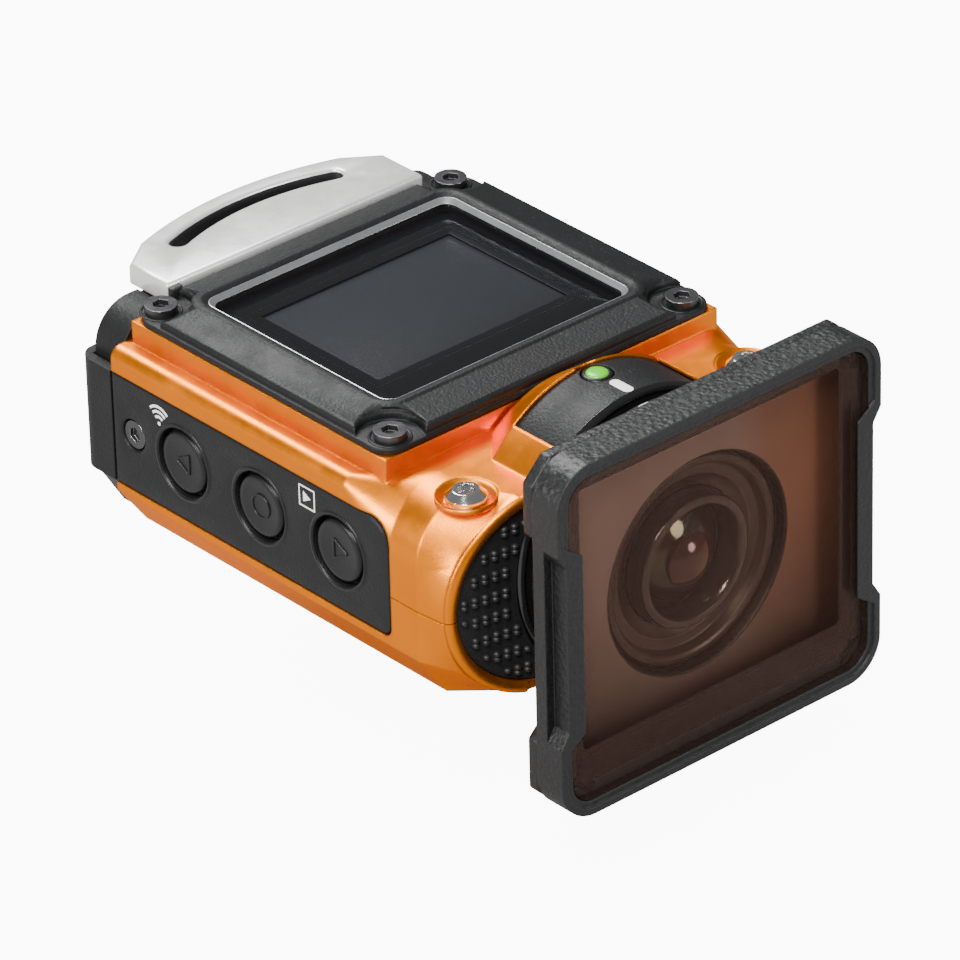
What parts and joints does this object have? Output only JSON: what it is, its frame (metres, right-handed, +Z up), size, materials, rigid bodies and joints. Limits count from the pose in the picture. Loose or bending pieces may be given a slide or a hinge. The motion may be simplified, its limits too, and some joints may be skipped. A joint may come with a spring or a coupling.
{
  "type": "action camera",
  "caption": "Rugged orange action camera with top display, square lens protector, side buttons, rear battery door and strap bracket.",
  "frame": {"origin": "mouth of the tripod socket on the flat underside", "axes": "+Z up through the display; the lens looks along -Y; +X is the right side seen from the front"},
  "size_m": [0.0604, 0.0921, 0.0488],
  "materials": {
    "orange": "satin",
    "charcoal": "grained",
    "black_gloss": "gloss",
    "black_rubber": "matt",
    "silver": "satin",
    "chrome": "polished",
    "steel": "brushed",
    "brass": "machined",
    "glass": "clear",
    "display": "gloss",
    "green": "gloss",
    "board": "solder mask",
    "chip": "matt",
    "cell": "wrapped",
    "tray": "moulded"
  },
  "bodies": {
    "casing": {"upper_shell": "orange", "lower_shell": "orange", "lcd_bezel": "charcoal", "lcd_window": "glass", "window_seal": "black_rubber", "lcd_panel": "display", "bezel_screws": "steel", "shoulder_screws": "chrome", "strap_bracket": "silver", "bracket_screws": "steel", "rear_cover": "charcoal", "door_hinge_pin": "steel", "lens_collar": "charcoal", "lock_return_sleeve": "black_rubber", "lens_barrel": "black_gloss", "retaining_ring": "black_gloss", "front_element": "glass", "middle_element": "glass", "rear_element": "glass", "image_sensor": "chip", "sensor_board": "board", "left_grip": "black_rubber", "right_grip": "black_rubber", "tripod_bush": "brass", "base_screws": "steel", "battery": "cell", "battery_tray": "tray", "main_board": "board", "processor": "chip", "memory": "chip", "usb_port": "steel", "video_port": "steel", "card_slot": "steel", "speaker": "chip", "microphones": "steel", "left_plate": "charcoal", "left_plate_screw": "steel", "left_membrane": "black_rubber", "left_switch_board": "board", "right_plate": "charcoal", "right_plate_screw": "steel", "right_membrane": "black_rubber", "right_switch_board": "board"},
    "back_button_part": {"back_button": "charcoal"},
    "select_button_part": {"select_button": "charcoal"},
    "forward_button_part": {"forward_button": "charcoal"},
    "power_button_part": {"power_button": "charcoal"},
    "record_button_part": {"record_button": "charcoal"},
    "photo_button_part": {"photo_button": "charcoal"},
    "lock_part": {"lock_button": "green"},
    "door_part": {"rear_door": "charcoal", "door_seal": "black_rubber"},
    "latch_part": {"door_latch": "charcoal"},
    "protector_part": {"protector_frame": "charcoal", "protector_glass": "glass", "protector_seal": "black_rubber", "protector_plate": "charcoal", "protector_ring": "charcoal"}
  },
  "joints": [
    {"name": "back_button_press", "type": "slide", "parent": "casing", "child": "back_button_part", "axis": [1, 0, 0], "range_m": [0, 0.0006], "stiffness_N_per_m": 1500},
    {"name": "select_button_press", "type": "slide", "parent": "casing", "child": "select_button_part", "axis": [1, 0, 0], "range_m": [0, 0.0006], "stiffness_N_per_m": 1500},
    {"name": "forward_button_press", "type": "slide", "parent": "casing", "child": "forward_button_part", "axis": [1, 0, 0], "range_m": [0, 0.0006], "stiffness_N_per_m": 1500},
    {"name": "power_button_press", "type": "slide", "parent": "casing", "child": "power_button_part", "axis": [-1, 0, 0], "range_m": [0, 0.0006], "stiffness_N_per_m": 1500},
    {"name": "record_button_press", "type": "slide", "parent": "casing", "child": "record_button_part", "axis": [-1, 0, 0], "range_m": [0, 0.0006], "stiffness_N_per_m": 1500},
    {"name": "photo_button_press", "type": "slide", "parent": "casing", "child": "photo_button_part", "axis": [-1, 0, 0], "range_m": [0, 0.0006], "stiffness_N_per_m": 1500},
    {"name": "lock_press", "type": "slide", "parent": "casing", "child": "lock_part", "axis": [0, 0, -1], "range_m": [0, 0.0008], "stiffness_N_per_m": 900, "deforming": ["lock_return_sleeve"]},
    {"name": "door_swing", "type": "hinge", "parent": "casing", "child": "door_part", "pos_m": [0.0281, 0.0306, 0.015], "axis": [0, 0, -1], "range_deg": [0, 95]},
    {"name": "latch_slide", "type": "slide", "parent": "door_part", "child": "latch_part", "axis": [1, 0, 0], "range_m": [0, 0.003]},
    {"name": "protector_turn", "type": "hinge", "parent": "casing", "child": "protector_part", "pos_m": [0, -0.045, 0.0147], "axis": [0, -1, 0], "range_deg": [-30, 30]}
  ]
}
